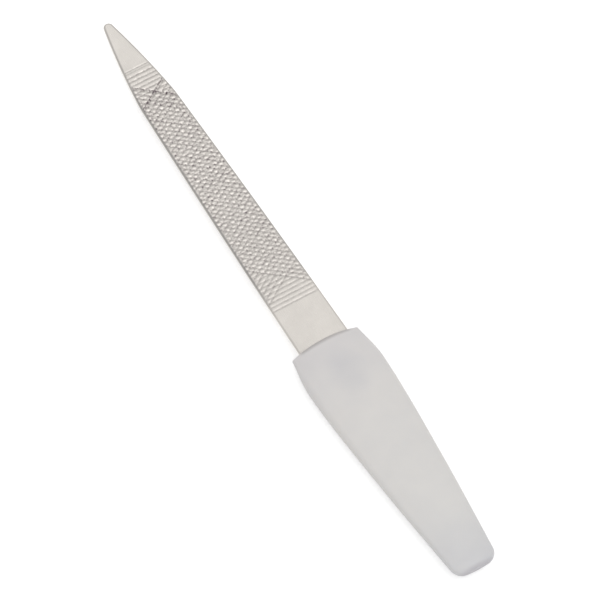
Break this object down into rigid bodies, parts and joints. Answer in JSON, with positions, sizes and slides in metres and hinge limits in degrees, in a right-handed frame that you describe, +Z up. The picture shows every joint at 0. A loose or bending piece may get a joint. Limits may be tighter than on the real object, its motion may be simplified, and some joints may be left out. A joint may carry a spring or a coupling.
{
  "type": "nail file",
  "caption": "Flat metal nail file: tapered steel blade with cross-cut teeth on both faces, its tang set in a one-piece moulded plastic handle.",
  "frame": {"origin": "midway along and across the file, on the surface that the handle's lower face touches when the blade is level", "axes": "+Y along the file towards the blade's tip, +X across the blade, +Z up, square to the blade's faces"},
  "size_m": [0.0178, 0.15, 0.006],
  "materials": {
    "plated_steel": "satin nickel plate",
    "white_plastic": "soft satin, slightly translucent"
  },
  "bodies": {
    "root": {"blade": "plated_steel", "handle": "white_plastic"}
  },
  "joints": []
}
